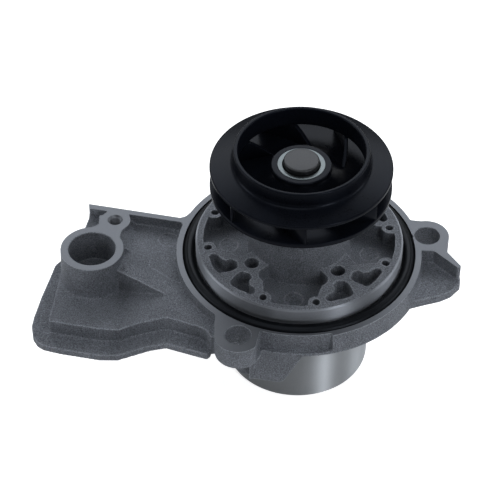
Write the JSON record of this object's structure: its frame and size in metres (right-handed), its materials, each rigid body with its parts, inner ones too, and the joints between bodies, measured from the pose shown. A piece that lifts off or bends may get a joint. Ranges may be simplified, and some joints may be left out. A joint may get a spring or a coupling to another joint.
{
  "type": "engine coolant pump",
  "caption": "Mechanical engine coolant pump: cast flanged housing with a side wing, spigot with seal ring, closed moulded impeller and a smooth belt pulley on a common shaft.",
  "frame": {"origin": "on the shaft axis, in the plane of the flange's machined face", "axes": "+Z along the shaft towards the impeller, -X towards the wing's socket, +Y completes the right-handed frame"},
  "size_m": [0.1944, 0.133, 0.1224],
  "materials": {
    "cast_aluminium": "satin",
    "seal_rubber": "satin",
    "impeller_plastic": "gloss",
    "insert_steel": "satin",
    "shaft_steel": "satin",
    "pulley_steel": "satin",
    "bearing_steel": "satin",
    "roller_steel": "gloss",
    "cage_plastic": "matte",
    "cup_brass": "satin",
    "spring_steel": "gloss",
    "carbon": "matte",
    "ceramic": "gloss",
    "nitrile": "matte"
  },
  "bodies": {
    "pump_housing": {"housing": "cast_aluminium", "o_ring": "seal_rubber", "bearing_sleeve": "bearing_steel", "bearing_seal_upper": "nitrile", "bearing_seal_lower": "nitrile", "seal_cartridge": "cup_brass", "seal_spring": "spring_steel", "seal_ferrule_upper": "spring_steel", "seal_ferrule_lower": "spring_steel", "seal_bellows": "nitrile", "seal_carbon_face": "carbon"},
    "rotor": {"shaft": "shaft_steel", "impeller_wheel": "impeller_plastic", "impeller_shroud": "impeller_plastic", "impeller_insert": "insert_steel", "seal_mating_ring": "ceramic", "seal_mating_boot": "nitrile", "seal_sleeve": "spring_steel", "pulley": "pulley_steel"},
    "ball_row": {"ball_cage": "cage_plastic", "bearing_balls": "roller_steel"},
    "roller_row": {"roller_cage": "cage_plastic", "bearing_rollers": "roller_steel"}
  },
  "joints": [
    {"name": "shaft_spin", "type": "hinge", "parent": "pump_housing", "child": "rotor", "pos_m": [0, 0, 0], "axis": [0, 0, 1], "continuous": true},
    {"name": "ball_row_spin", "type": "hinge", "parent": "pump_housing", "child": "ball_row", "pos_m": [0, 0, -0.0225], "axis": [0, 0, 1], "continuous": true},
    {"name": "roller_row_spin", "type": "hinge", "parent": "pump_housing", "child": "roller_row", "pos_m": [0, 0, -0.0405], "axis": [0, 0, 1], "continuous": true}
  ],
  "couplings": [
    {"joint": "ball_row_spin", "follows": "shaft_spin", "ratio": 0.359},
    {"joint": "roller_row_spin", "follows": "shaft_spin", "ratio": 0.384}
  ]
}
